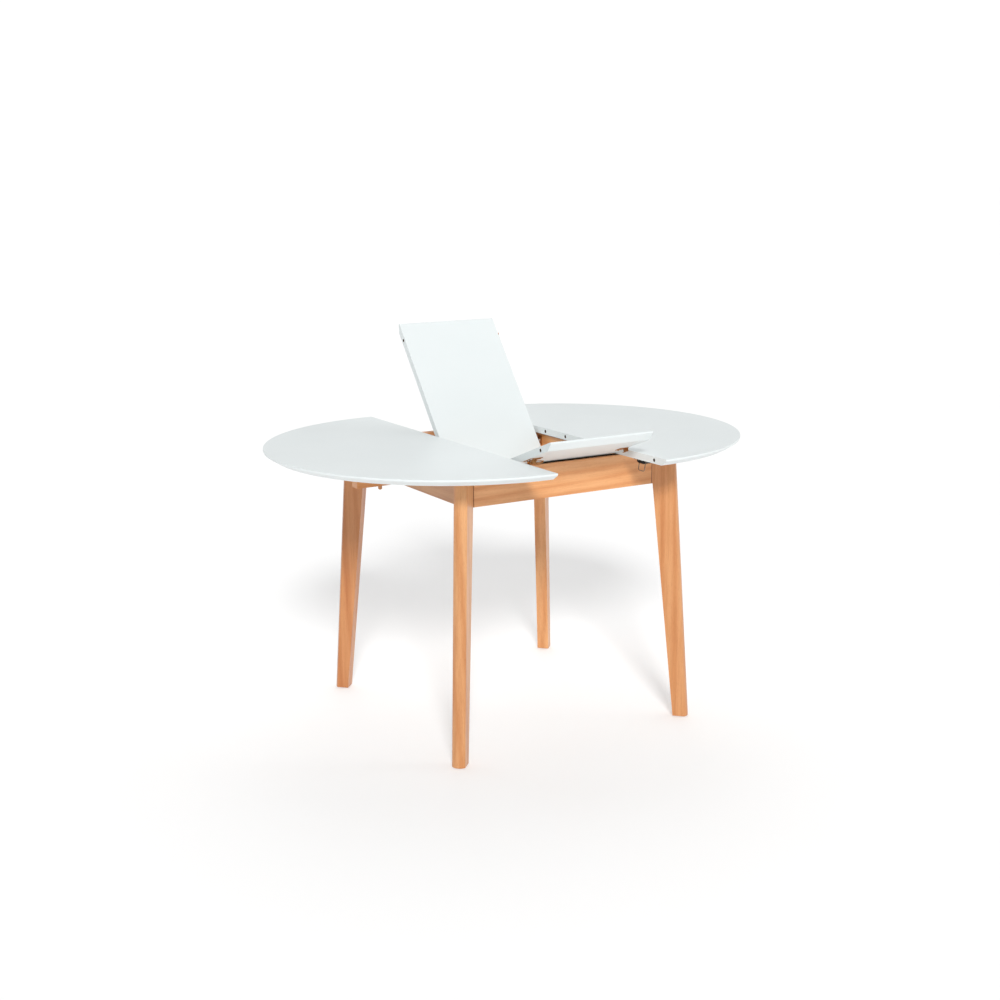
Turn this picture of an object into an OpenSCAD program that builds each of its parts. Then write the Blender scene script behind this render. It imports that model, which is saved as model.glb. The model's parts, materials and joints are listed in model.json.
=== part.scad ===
/* [Table top] */
// Diameter of the closed round top
top_d = 1000; // [900:10:1100]
// Height of the top surface above the floor
table_h = 750; // [720:5:780]
// Thickness of the lacquered boards
top_t = 18; // [16:1:22]
// How far the reverse bevel goes in at the underside
bevel_in = 20; // [10:1:30]
// Height of the upright band above the bevel
band_h = 5; // [3:1:8]
// Width of the folding leaf
leaf_w = 300; // [280:10:340]
// Gap between each half and the leaf when the table is pulled open
open_gap = 8; // [7.8:0.1:12]

/* [Leaf pose] */
// Angle of the far panel above level
far_tilt = 52; // [50:1:54]
// Distance of the leaf's pivot pins behind the fold
pivot_y = 120; // [115:1:125]
// Height of the pivot pins above the floor
pivot_z = 710; // [708:1:712]

/* [Frame] */
// Distance from the middle to the outer face of the aprons
apron_out = 294; // [290:1:300]
// Thickness of the aprons
apron_t = 20; // [18:1:24]
// Height of the lower edge of the aprons
apron_low = 642; // [636:1:650]
// Height of the upper edge of the aprons
apron_top = 729; // [727:0.5:729.5]
// Thickness of each leg across its flat sides
leg_t = 34; // [32:1:38]
// Distance of the leg's outer face from the middle, at the floor
leg_out_low = 507; // [500:1:515]
// Distance of the leg's outer face from the middle, at its top
leg_out_top = 457; // [452:1:462]
// Distance of the leg's inner face from the middle, at the floor
leg_in_low = 467; // [460:1:472]
// Distance of the leg's inner face from the middle, at its top
leg_in_top = 391.5; // [390:0.5:394]

/* [Slides] */
// Distance of the wooden runners from the middle
runner_y = 176; // [174:1:180]
// Width of a runner at its lower edge
runner_w = 28; // [26:1:30]
// Height of the lower edge of the runners
runner_low = 700; // [699:1:704]

/* [Hidden] */

round_fn = 48;
top_r = top_d / 2;
under_z = table_h - top_t;
leaf_half = leaf_w / 2;
half_x = leaf_half + open_gap;
mid_z = table_h - top_t / 2;
edge_cut = 1.5;

// Clearances: free gaps, running fits and seats within one body
free = 0.4;
run = 0.075;
seat = 0.05;

// Dowels that line up the boards
dowel_d = 8;
dowel_out = 7;
dowel_in = 18;
dowel_hole = 12;
dowel_y = [50, 450];

// Aprons and legs
apron_in = apron_out - apron_t;
apron_h = apron_top - apron_low;
leg_top = apron_top;
leg_skew = leg_t / 2 * sqrt(2);
leg_bulge = 8;
leg_arc_r = (pow(leg_t / 2, 2) + pow(leg_bulge, 2)) / (2 * leg_bulge);
leg_in_apron = leg_in_low + (leg_in_top - leg_in_low) * apron_low / leg_top;
leg_lap = 2;
leg_past = 40;
glide_t = 2;
glide_d = 20;
glide_pin_d = 3;
glide_pin_h = 13;
felt_t = 1.5;
felt_w = 8;
felt_in = 4;
felt_side = 6;
CORNERS = [[-1, -1], [1, -1], [-1, 1], [1, 1]];

// Corner blocks and the bolts that hold the legs
block_in = 352;
block_gap = 0.1;
block_low = apron_low + 8;
block_top = apron_top - 9;
bolt_d = 8;
bolt_z = [667, 703];
bolt_deep = 432;
bolt_end = 334;
washer_d = 22;
washer_t = 1.6;
nut_t = 6.5;
nut_w = 13;

// Cross rails that carry the leaf and guide the runners
bearer_in = 168;
bearer_t = 22;
bearer_low = 650;
bearer_top = 727;
bearer_end = apron_in - block_gap;
angle_t = 2;
angle_len = 30;
angle_low = 656;
angle_h = 30;
angle_screw_d = 4;
angle_screw_at = 24;
angle_bite = 14;
angle_head_d = 8;
angle_head_t = 2.4;

// Runners, their screws and their stop pegs
runner_in = half_x + 2;
runner_out = 532;
runner_top_w = runner_w - 8;
runner_screws = [185, 345, 505];
runner_screw_d = 4;
runner_bite = 9;
runner_head_d = 8.4;
runner_head_t = 3;
runner_sink = 7;
peg_d = 10;
peg_low = 688;
peg_high = 716;
peg_tip = 3;
peg_gap = 7;
peg_close = apron_out + peg_d / 2 + half_x + peg_gap;
peg_open = apron_in - peg_d / 2 - free;

// Leaf pivot
pivot_d = 8;
ear_x = 143;
ear_t = 3;
ear_w = 24;
ear_drop = 2;
ear_plate = [26, 60];
plate_len = 76;
plate_t = 3;
bearing_h = 26;
bearing_screw = 29;
bearing_screw_d = 3;
bearing_bite = 14;
bearing_head_d = 7;
bearing_head_t = 2;
pin_start = 141;
pin_end = 186;
pin_head_d = 13;
pin_head_t = 3;
pin_gap = 0.2;

// Hinge at the fold: two barrel hinges with ring-shaped links
hinge_x = 90;
cup_d = 14;
cup_len = 19;
ring_out = 10.5;
ring_in = 6.5;
ring_t = 3;
ring_turn = 178;
fold_gap = 0.25;

// Pose of the leaf: the near panel lies on the inner edge of the front felt
lift = 0.3;
fold_dy = -pivot_y * cos(far_tilt) - (table_h - pivot_z) * sin(far_tilt);
fold_dz = -pivot_y * sin(far_tilt) + (table_h - pivot_z) * cos(far_tilt);
fold_y = pivot_y + fold_dy;
fold_z = pivot_z + fold_dz;
rest_dy = apron_in + felt_in + fold_y;
rest_dz = apron_top + felt_t - fold_z;
near_tilt = atan2(rest_dz, rest_dy) + asin((top_t + lift) / norm([rest_dy, rest_dz]));
fold_angle = far_tilt + near_tilt;

// Draw latches and keepers
latch_y = 378;
latch_edge = 3;
leaf_latch_edge = 2;
sheet_t = 1.5;
base_l = 36;
base_w = 34;
rivet_d = 5;
rivet_y = 10.5;
rivet_end = 5;
cheek_y = 7;
cheek_d = 8;
latch_pin = [9, -6.5];
latch_pin_d = 3;
bail_pin = [16, -6.5];
flange_y = 9.2;
flange_out = flange_y + sheet_t;
flange_h = 7;
flange_past = 3;
lever_l = 29;
lever_start = 1;
lever_low = latch_pin[1] - 6;
bail_d = 2;
bail_len = 25;
bail_y = 12.6;
bail_bend = 5;
front_swing = -10;
back_swing = 85;
keeper_l = 26;
keeper_w = 24;
lip_w = 20;
lip_x = bail_len - bail_pin[0] - latch_edge - leaf_latch_edge - bail_d - 1;
lip_hook = 5;
lip_low = bail_pin[1] - bail_d / 2 - 0.5;
keeper_rivet = [20, 7];

// Placing helpers
module mirror_x(side) {
    if (side < 0) mirror([1, 0, 0]) children();
    else children();
}
module mirror_y(side) {
    if (side < 0) mirror([0, 1, 0]) children();
    else children();
}
module in_far() {
    translate([0, pivot_y, pivot_z]) rotate([far_tilt, 0, 0])
        translate([0, -pivot_y, -pivot_z]) children();
}
module in_near() {
    in_far() translate([0, 0, table_h]) rotate([-fold_angle, 0, 0])
        translate([0, 0, -table_h]) children();
}
module along_x(d, x0, x1, y, z) {
    translate([x0, y, z]) rotate([0, 90, 0]) cylinder(d = d, h = x1 - x0, $fn = round_fn);
}
module along_y(d, y0, y1, x, z) {
    translate([x, y1, z]) rotate([90, 0, 0]) cylinder(d = d, h = y1 - y0, $fn = round_fn);
}
module block_at(x0, x1, y0, y1, z0, z1) {
    translate([x0, y0, z0]) cube([x1 - x0, y1 - y0, z1 - z0]);
}
// Turns a corner's own frame, with +X pointing out along the diagonal, into place
module at_corner(corner) {
    rotate([0, 0, atan2(corner[1], corner[0])]) children();
}

// Table halves
module half_disc() {
    rotate([0, 0, -90]) rotate_extrude(angle = 180, $fn = 240)
        polygon([[0, under_z], [top_r - bevel_in, under_z],
            [top_r, table_h - band_h], [top_r, table_h - edge_cut],
            [top_r - edge_cut, table_h], [0, table_h]]);
}
module half_dowel_bores(clear) {
    for (side = [-1, 1], y = dowel_y)
        along_x(dowel_d + 2 * clear, half_x - 1, half_x + dowel_in + 1, side * y, mid_z);
}
module runner_screw_bores() {
    for (side = [-1, 1], x = runner_screws)
        translate([x, side * runner_y, under_z - 1])
            cylinder(d = runner_screw_d + 2 * seat, h = runner_bite + 3, $fn = round_fn);
}
module left_top_half() {
    color([0.93, 0.95, 0.95]) mirror([1, 0, 0]) difference() {
        translate([half_x, 0, 0]) half_disc();
        half_dowel_bores(seat);
        runner_screw_bores();
    }
}
module right_top_half() {
    color([0.93, 0.95, 0.95]) difference() {
        translate([half_x, 0, 0]) half_disc();
        half_dowel_bores(free);
        runner_screw_bores();
    }
}
module left_half_dowels() {
    color([0.85, 0.68, 0.48]) mirror([1, 0, 0]) for (side = [-1, 1], y = dowel_y)
        along_x(dowel_d, half_x - dowel_out, half_x + dowel_in, side * y, mid_z);
}

// Folding leaf, drawn level as the far panel and mirrored for the near one
module leaf_board() {
    rotate([90, 0, 90]) translate([0, 0, -leaf_half]) linear_extrude(leaf_w)
        polygon([[fold_gap, under_z], [top_r - bevel_in, under_z],
            [top_r, table_h - band_h], [top_r, table_h - edge_cut],
            [top_r - edge_cut, table_h], [fold_gap, table_h]]);
}
module hinge_ring(grow) {
    for (side = [-1, 1])
        translate([side * hinge_x, 0, table_h]) rotate([0, 90, 0])
            rotate([0, 0, -ring_turn / 2]) rotate_extrude(angle = ring_turn, $fn = 96)
                translate([ring_in - grow, -ring_t / 2 - grow])
                    square([ring_out - ring_in + 2 * grow, ring_t + 2 * grow]);
}
module hinge_bores() {
    for (side = [-1, 1])
        along_y(cup_d + 2 * seat, -1, cup_len + seat, side * hinge_x, mid_z);
    intersection() {
        hinge_ring(free);
        block_at(-leaf_half, leaf_half, -1, top_r, under_z - 1, table_h - 1);
    }
}
module leaf_panel() {
    difference() {
        leaf_board();
        for (y = dowel_y) {
            along_x(dowel_d + 2 * seat, leaf_half - dowel_in, leaf_half + 1, y, mid_z);
            along_x(dowel_d + 2 * free, -leaf_half - 1, -leaf_half + dowel_hole, y, mid_z);
        }
        hinge_bores();
    }
}
module near_leaf_panel() {
    color([0.93, 0.95, 0.95]) in_near() mirror([0, 1, 0]) leaf_panel();
}
module far_leaf_panel() {
    color([0.93, 0.95, 0.95]) in_far() leaf_panel();
}
module leaf_dowels() {
    color([0.85, 0.68, 0.48]) for (y = dowel_y)
        along_x(dowel_d, leaf_half - dowel_in + 1, leaf_half + dowel_out, y, mid_z);
}
module near_leaf_dowels() {
    in_near() mirror([0, 1, 0]) leaf_dowels();
}
module far_leaf_dowels() {
    in_far() leaf_dowels();
}
module hinge_cups() {
    color([0.80, 0.65, 0.35]) difference() {
        for (side = [-1, 1])
            along_y(cup_d, fold_gap, cup_len, side * hinge_x, mid_z);
        hinge_ring(free);
    }
}
module near_hinge_cups() {
    in_near() mirror([0, 1, 0]) hinge_cups();
}
module far_hinge_cups() {
    in_far() hinge_cups();
}
// The links turn with half the fold angle, so they bridge the fold at any angle
module hinge_links() {
    color([0.72, 0.56, 0.30]) in_far() translate([0, 0, table_h]) rotate([-fold_angle / 2, 0, 0])
        translate([0, 0, -table_h]) hinge_ring(0);
}

// Aprons: ends cut along the flat sides of the diagonal legs
module apron_bar() {
    translate([0, 0, apron_low]) linear_extrude(apron_h)
        polygon([[-apron_out + leg_skew + seat, -apron_out], [apron_out - leg_skew - seat, -apron_out],
            [apron_in - leg_skew - seat, -apron_in], [-apron_in + leg_skew + seat, -apron_in]]);
}
module apron_color() {
    color([0.87, 0.62, 0.42]) children();
}
module runner_profile(grow) {
    bottom = runner_w / 2 + grow;
    top = runner_top_w / 2 + grow;
    polygon([[-bottom, runner_low - grow], [bottom, runner_low - grow], [top, under_z], [-top, under_z]]);
}
module runner_bar(x0, x1, grow) {
    for (side = [-1, 1])
        translate([x0, side * runner_y, 0]) rotate([90, 0, 90]) linear_extrude(x1 - x0)
            runner_profile(grow);
}
module front_apron() {
    apron_color() difference() {
        apron_bar();
        angle_screw_bores();
    }
}
module back_apron() {
    apron_color() difference() {
        mirror([0, 1, 0]) apron_bar();
        angle_screw_bores();
    }
}
module side_apron() {
    difference() {
        rotate([0, 0, 90]) apron_bar();
        runner_bar(apron_in - 1, apron_out + 1, free);
    }
}
module left_apron() {
    apron_color() mirror([1, 0, 0]) side_apron();
}
module right_apron() {
    apron_color() side_apron();
}
// Strip of felt that the folded leaf rests on
module front_felt() {
    reach = apron_in - leg_skew - felt_side;
    felt_y = apron_in + felt_in;
    color([0.10, 0.10, 0.09])
        block_at(-reach, reach, -felt_y - felt_w, -felt_y, apron_top, apron_top + felt_t);
}

// Legs: flat sides and inner face, arched outer face, tapered and splayed
module leg() {
    slope = atan2(leg_out_low - leg_out_top, leg_top);
    flat_low = leg_out_low - leg_bulge;
    flat_top = leg_out_top - leg_bulge;
    difference() {
        union() {
            rotate([90, 0, 0]) translate([0, 0, -leg_t / 2]) linear_extrude(leg_t)
                polygon([[leg_in_low, glide_t], [flat_low, glide_t], [flat_top, leg_top],
                    [leg_in_top, leg_top], [leg_in_top, apron_low], [leg_in_apron, apron_low]]);
            intersection() {
                translate([leg_out_low - leg_arc_r / cos(slope), 0, 0]) rotate([0, -slope, 0])
                    cylinder(r = leg_arc_r, h = 2 * leg_top, center = true, $fn = 128);
                block_at(leg_in_top, leg_out_low, -leg_t / 2, leg_t / 2, glide_t, leg_top);
                rotate([90, 0, 0]) translate([0, 0, -leg_t]) linear_extrude(2 * leg_t)
                    polygon([[flat_low - leg_lap, 0], [flat_low + leg_past, 0],
                        [flat_top + leg_past, leg_top], [flat_top - leg_lap, leg_top]]);
            }
        }
        bolt_bores(bolt_d + 2 * seat);
        translate([(leg_in_low + leg_out_low) / 2, 0, 0])
            cylinder(d = glide_pin_d + 2 * seat, h = glide_pin_h + 1, $fn = round_fn);
    }
}
module bolt_bores(d) {
    for (z = bolt_z) along_x(d, bolt_end, bolt_deep + 1, 0, z);
}
module leg_at(corner) {
    color([0.88, 0.63, 0.44]) at_corner(corner) leg();
}
module leg_front_left() {
    leg_at(CORNERS[0]);
}
module leg_front_right() {
    leg_at(CORNERS[1]);
}
module leg_back_left() {
    leg_at(CORNERS[2]);
}
module leg_back_right() {
    leg_at(CORNERS[3]);
}
module foot_glides() {
    color([0.75, 0.72, 0.66]) for (corner = CORNERS)
        at_corner(corner) translate([(leg_in_low + leg_out_low) / 2, 0, 0]) {
            cylinder(d = glide_d, h = glide_t, $fn = round_fn);
            cylinder(d = glide_pin_d, h = glide_pin_h, $fn = round_fn);
        }
}

// Corner blocks fill the corner between the aprons and the leg
module block_at_corner(corner) {
    neck = leg_t / 2 - seat;
    shoulder = (apron_in - leg_skew / 2) * sqrt(2) - 2 * block_gap;
    wide = neck + shoulder - block_in;
    color([0.82, 0.64, 0.45]) at_corner(corner) difference() {
        translate([0, 0, block_low]) linear_extrude(block_top - block_low)
            polygon([[leg_in_top - block_gap, -neck], [leg_in_top - block_gap, neck],
                [shoulder, neck], [block_in, wide], [block_in, -wide], [shoulder, -neck]]);
        bolt_bores(bolt_d + 2 * free);
    }
}
module block_front_left() {
    block_at_corner(CORNERS[0]);
}
module block_front_right() {
    block_at_corner(CORNERS[1]);
}
module block_back_left() {
    block_at_corner(CORNERS[2]);
}
module block_back_right() {
    block_at_corner(CORNERS[3]);
}
module hanger_bolts() {
    color([0.70, 0.71, 0.72]) for (corner = CORNERS, z = bolt_z)
        at_corner(corner) along_x(bolt_d, bolt_end, bolt_deep, 0, z);
}
module bolt_washers() {
    color([0.74, 0.75, 0.76]) for (corner = CORNERS, z = bolt_z)
        at_corner(corner) difference() {
            along_x(washer_d, block_in - washer_t, block_in, 0, z);
            along_x(bolt_d + 2 * seat, block_in - washer_t - 1, block_in + 1, 0, z);
        }
}
module bolt_nuts() {
    color([0.66, 0.67, 0.68]) for (corner = CORNERS, z = bolt_z)
        at_corner(corner) difference() {
            translate([block_in - washer_t - nut_t, 0, z]) rotate([0, 90, 0])
                cylinder(d = nut_w / cos(30), h = nut_t, $fn = 6);
            along_x(bolt_d + 2 * seat, bolt_end, block_in, 0, z);
        }
}

// Cross rails
module angle_screw_bores() {
    for (sx = [-1, 1], sy = [-1, 1])
        mirror_x(sx) mirror_y(sy) angle_screws(angle_screw_d + 2 * seat, 0);
}
module bearer_rail() {
    apron_color() difference() {
        block_at(bearer_in, bearer_in + bearer_t, -bearer_end, bearer_end, bearer_low, bearer_top);
        runner_bar(bearer_in - 1, bearer_in + bearer_t + 1, free);
        for (side = [-1, 1])
            block_at(bearer_in - 1, bearer_in + bearer_t + 1, side * runner_y - peg_d / 2 - 1,
                side * runner_y + peg_d / 2 + 1, peg_low - 2, runner_low + 1);
        along_x(pivot_d + 2 * free, bearer_in - 1, bearer_in + bearer_t + 1, pivot_y, pivot_z);
        for (side = [-1, 1])
            along_x(bearing_screw_d + 2 * seat, bearer_in - 1, bearer_in + bearing_bite + 1,
                pivot_y + side * bearing_screw, pivot_z);
        for (sy = [-1, 1]) mirror_y(sy) angle_screws(angle_screw_d + 2 * seat, 0);
    }
}
module left_bearer_rail() {
    mirror([1, 0, 0]) bearer_rail();
}
module right_bearer_rail() {
    bearer_rail();
}
module angle_bracket() {
    x0 = bearer_in + bearer_t;
    difference() {
        union() {
            block_at(x0, x0 + angle_t, apron_in - angle_len, apron_in, angle_low, angle_low + angle_h);
            block_at(x0, x0 + angle_len, apron_in - angle_t, apron_in, angle_low, angle_low + angle_h);
        }
        angle_screws(angle_screw_d + 2 * seat, 0);
    }
}
module bearer_angles() {
    color([0.72, 0.73, 0.74]) for (sx = [-1, 1], sy = [-1, 1])
        mirror_x(sx) mirror_y(sy) angle_bracket();
}
// One screw into the rail and one into the apron, with heads of height head_h
module angle_screws(d, head_h) {
    x0 = bearer_in + bearer_t;
    y0 = apron_in - angle_screw_at;
    z = angle_low + angle_h / 2;
    along_x(d, x0 - angle_bite, x0 + angle_t, y0, z);
    along_y(d, apron_in - angle_t, apron_in + angle_bite, x0 + angle_screw_at, z);
    if (head_h > 0) {
        along_x(angle_head_d, x0 + angle_t, x0 + angle_t + head_h, y0, z);
        along_y(angle_head_d, apron_in - angle_t - head_h, apron_in - angle_t, x0 + angle_screw_at, z);
    }
}
module bearer_screws() {
    color([0.70, 0.71, 0.72]) for (sx = [-1, 1], sy = [-1, 1])
        mirror_x(sx) mirror_y(sy) angle_screws(angle_screw_d, angle_head_t);
}

// Pivot of the leaf
module bearing_plates() {
    color([0.52, 0.36, 0.20]) for (side = [-1, 1])
        mirror_x(side) difference() {
            block_at(bearer_in - plate_t, bearer_in, pivot_y - plate_len / 2, pivot_y + plate_len / 2,
                pivot_z - bearing_h / 2, pivot_z + bearing_h / 2);
            along_x(pivot_d + 2 * run, bearer_in - plate_t - 1, bearer_in + 1, pivot_y, pivot_z);
            for (s = [-1, 1])
                along_x(bearing_screw_d + 2 * seat, bearer_in - plate_t - 1, bearer_in + 1,
                    pivot_y + s * bearing_screw, pivot_z);
        }
}
module bearing_screws() {
    color([0.80, 0.74, 0.60]) for (side = [-1, 1], s = [-1, 1])
        mirror_x(side) {
            along_x(bearing_screw_d, bearer_in - plate_t, bearer_in + bearing_bite,
                pivot_y + s * bearing_screw, pivot_z);
            along_x(bearing_head_d, bearer_in - plate_t - bearing_head_t, bearer_in - plate_t,
                pivot_y + s * bearing_screw, pivot_z);
        }
}
module pivot_plates() {
    color([0.52, 0.36, 0.20]) in_far() for (side = [-1, 1])
        mirror_x(side) difference() {
            union() {
                block_at(ear_x - ear_plate[0], ear_x + ear_t, pivot_y - ear_plate[1] / 2,
                    pivot_y + ear_plate[1] / 2, under_z - plate_t, under_z);
                block_at(ear_x, ear_x + ear_t, pivot_y - ear_w / 2, pivot_y + ear_w / 2,
                    pivot_z - ear_drop, under_z - plate_t);
                along_x(ear_w, ear_x, ear_x + ear_t, pivot_y, pivot_z - ear_drop);
            }
            along_x(pivot_d + 2 * seat, ear_x - 1, ear_x + ear_t + 1, pivot_y, pivot_z);
        }
}
module pivot_pins() {
    color([0.74, 0.75, 0.76]) for (side = [-1, 1])
        mirror_x(side) {
            along_x(pivot_d, pin_start, pin_end, pivot_y, pivot_z);
            along_x(pin_head_d, pin_start - pin_head_t, ear_x - pin_gap, pivot_y, pivot_z);
        }
}

// Runners: dovetail battens under the halves, guided by the side aprons and cross rails
module runner(side_y) {
    color([0.84, 0.62, 0.42]) difference() {
        intersection() {
            runner_bar(runner_in, runner_out, 0);
            mirror_y(side_y) block_at(0, 2 * top_r, 0, top_r, 0, table_h);
        }
        for (x = runner_screws) translate([x, side_y * runner_y, runner_low - 1]) {
            cylinder(d = runner_screw_d + 2 * seat, h = top_r, $fn = round_fn);
            cylinder(d = runner_head_d + 2 * free, h = runner_sink + 1, $fn = round_fn);
        }
        for (x = [peg_close, peg_open]) translate([x, side_y * runner_y, runner_low - 1])
            cylinder(d = peg_d + 2 * seat, h = peg_high - runner_low + 1, $fn = round_fn);
    }
}
module left_runner_front() {
    mirror([1, 0, 0]) runner(-1);
}
module left_runner_back() {
    mirror([1, 0, 0]) runner(1);
}
module right_runner_front() {
    runner(-1);
}
module right_runner_back() {
    runner(1);
}
module runner_screw_set() {
    color([0.70, 0.71, 0.72]) for (side = [-1, 1], x = runner_screws)
        translate([x, side * runner_y, runner_low + runner_sink - runner_head_t]) {
            cylinder(d = runner_screw_d, $fn = round_fn,
                h = under_z + runner_bite - runner_low - runner_sink + runner_head_t);
            cylinder(d = runner_head_d, h = runner_head_t, $fn = round_fn);
        }
}
module left_runner_screws() {
    mirror([1, 0, 0]) runner_screw_set();
}
module right_runner_screws() {
    runner_screw_set();
}
module peg_set() {
    color([0.72, 0.48, 0.28]) for (side = [-1, 1], x = [peg_close, peg_open])
        translate([x, side * runner_y, 0]) {
            translate([0, 0, peg_low + peg_tip])
                cylinder(d = peg_d, h = peg_high - peg_low - peg_tip, $fn = round_fn);
            translate([0, 0, peg_low])
                cylinder(d1 = peg_d - 4, d2 = peg_d, h = peg_tip, $fn = round_fn);
        }
}
module left_stop_pegs() {
    mirror([1, 0, 0]) peg_set();
}
module right_stop_pegs() {
    peg_set();
}

// Draw latch, drawn at the origin: it hangs under z = 0 and hooks towards -X
module latch_base() {
    difference() {
        union() {
            block_at(0, base_l, -base_w / 2, base_w / 2, -sheet_t, 0);
            for (side = [-1, 1]) mirror_y(side) {
                block_at(latch_pin[0] - cheek_d / 2, latch_pin[0] + cheek_d / 2,
                    cheek_y, cheek_y + sheet_t, latch_pin[1], -sheet_t);
                along_y(cheek_d, cheek_y, cheek_y + sheet_t, latch_pin[0], latch_pin[1]);
            }
        }
        along_y(latch_pin_d + 2 * run, -base_w, base_w, latch_pin[0], latch_pin[1]);
    }
    for (side = [-1, 1]) translate([base_l - rivet_end, side * rivet_y, -2 * sheet_t])
        cylinder(d = rivet_d, h = sheet_t, $fn = round_fn);
}
module latch_lever() {
    difference() {
        union() {
            for (side = [-1, 1]) mirror_y(side) {
                block_at(latch_pin[0], bail_pin[0] + flange_past, flange_y, flange_out,
                    latch_pin[1] - flange_h / 2, latch_pin[1] + flange_past);
                along_y(flange_h, flange_y, flange_out, latch_pin[0], latch_pin[1]);
                block_at(latch_pin[0] + lever_start, bail_pin[0] + flange_past,
                    flange_y, flange_out, lever_low, latch_pin[1] - flange_h / 2 + 1);
            }
            block_at(latch_pin[0] + lever_start, latch_pin[0] + lever_l,
                -flange_out, flange_out, lever_low, lever_low + sheet_t);
        }
        along_y(latch_pin_d + 2 * seat, -base_w, base_w, latch_pin[0], latch_pin[1]);
        along_y(bail_d + 2 * run, -base_w, base_w, bail_pin[0], bail_pin[1]);
    }
    along_y(latch_pin_d, -flange_out - 1, flange_out + 1, latch_pin[0], latch_pin[1]);
}
// Wire bail; swing turns it back from hanging straight down
module latch_bail(swing) {
    translate([bail_pin[0], 0, bail_pin[1]]) rotate([0, -swing, 0]) {
        for (side = [-1, 1]) mirror_y(side) {
            along_y(bail_d, flange_y - 1, bail_y, 0, 0);
            translate([0, bail_y, 0]) sphere(d = bail_d, $fn = 24);
            translate([0, bail_y, bail_bend - bail_len])
                cylinder(d = bail_d, h = bail_len - bail_bend, $fn = 24);
            translate([0, bail_y - bail_bend, bail_bend - bail_len]) rotate([0, 90, 0])
                rotate_extrude(angle = 90, $fn = round_fn)
                    translate([bail_bend, 0]) circle(d = bail_d, $fn = 24);
        }
        along_y(bail_d, bail_bend - bail_y, bail_y - bail_bend, 0, -bail_len);
    }
}
module at_half_latch(side_y) {
    translate([half_x + latch_edge, side_y * latch_y, under_z]) children();
}
module at_leaf_latch() {
    translate([-leaf_half + leaf_latch_edge, latch_y, under_z]) children();
}
module half_latch_bases() {
    color([0.08, 0.08, 0.08]) for (side = [-1, 1]) at_half_latch(side) latch_base();
}
module half_lever_front() {
    color([0.12, 0.12, 0.12]) at_half_latch(-1) latch_lever();
}
module half_lever_back() {
    color([0.12, 0.12, 0.12]) at_half_latch(1) latch_lever();
}
module half_bail_front() {
    color([0.75, 0.75, 0.74]) at_half_latch(-1) latch_bail(front_swing);
}
module half_bail_back() {
    color([0.75, 0.75, 0.74]) at_half_latch(1) latch_bail(0);
}
module near_latch_base() {
    color([0.52, 0.36, 0.20]) in_near() mirror([0, 1, 0]) at_leaf_latch() latch_base();
}
module near_lever() {
    color([0.45, 0.31, 0.17]) in_near() mirror([0, 1, 0]) at_leaf_latch() latch_lever();
}
module near_bail() {
    color([0.60, 0.44, 0.26]) in_near() mirror([0, 1, 0]) at_leaf_latch() latch_bail(back_swing);
}
module far_latch_base() {
    color([0.52, 0.36, 0.20]) in_far() at_leaf_latch() latch_base();
}
module far_lever() {
    color([0.45, 0.31, 0.17]) in_far() at_leaf_latch() latch_lever();
}
module far_bail() {
    color([0.60, 0.44, 0.26]) in_far() at_leaf_latch() latch_bail(back_swing);
}

// Keepers: a plate with a hooked lip that the bail pulls on
module keeper() {
    block_at(0, keeper_l, -keeper_w / 2, keeper_w / 2, -sheet_t, 0);
    block_at(lip_x, lip_x + sheet_t, -lip_w / 2, lip_w / 2, lip_low, -sheet_t);
    block_at(lip_x, lip_x + lip_hook, -lip_w / 2, lip_w / 2, lip_low - sheet_t, lip_low);
    for (side = [-1, 1]) translate([keeper_rivet[0], side * keeper_rivet[1], -2 * sheet_t])
        cylinder(d = rivet_d, h = sheet_t, $fn = round_fn);
}
module left_half_keepers() {
    color([0.52, 0.36, 0.20]) mirror([1, 0, 0]) for (side = [-1, 1])
        at_half_latch(side) keeper();
}
module leaf_keeper() {
    color([0.62, 0.38, 0.20]) translate([leaf_half - leaf_latch_edge, latch_y, under_z])
        mirror([1, 0, 0]) keeper();
}
module near_keeper() {
    in_near() mirror([0, 1, 0]) leaf_keeper();
}
module far_keeper() {
    in_far() leaf_keeper();
}

left_top_half();
right_top_half();
near_leaf_panel();
far_leaf_panel();
left_half_dowels();
near_leaf_dowels();
far_leaf_dowels();
near_hinge_cups();
far_hinge_cups();
hinge_links();
front_apron();
back_apron();
left_apron();
right_apron();
leg_front_left();
leg_front_right();
leg_back_left();
leg_back_right();
block_front_left();
block_front_right();
block_back_left();
block_back_right();
hanger_bolts();
bolt_washers();
bolt_nuts();
foot_glides();
front_felt();
left_bearer_rail();
right_bearer_rail();
bearer_angles();
bearer_screws();
bearing_plates();
bearing_screws();
pivot_plates();
pivot_pins();
left_runner_front();
left_runner_back();
right_runner_front();
right_runner_back();
left_runner_screws();
right_runner_screws();
left_stop_pegs();
right_stop_pegs();
half_latch_bases();
half_lever_front();
half_lever_back();
half_bail_front();
half_bail_back();
near_latch_base();
near_lever();
near_bail();
far_latch_base();
far_lever();
far_bail();
left_half_keepers();
near_keeper();
far_keeper();
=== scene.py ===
"""Looks of the extendable round dining table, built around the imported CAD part."""
import json
import math

import bmesh
import bpy
from mathutils import Matrix, Vector

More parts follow.
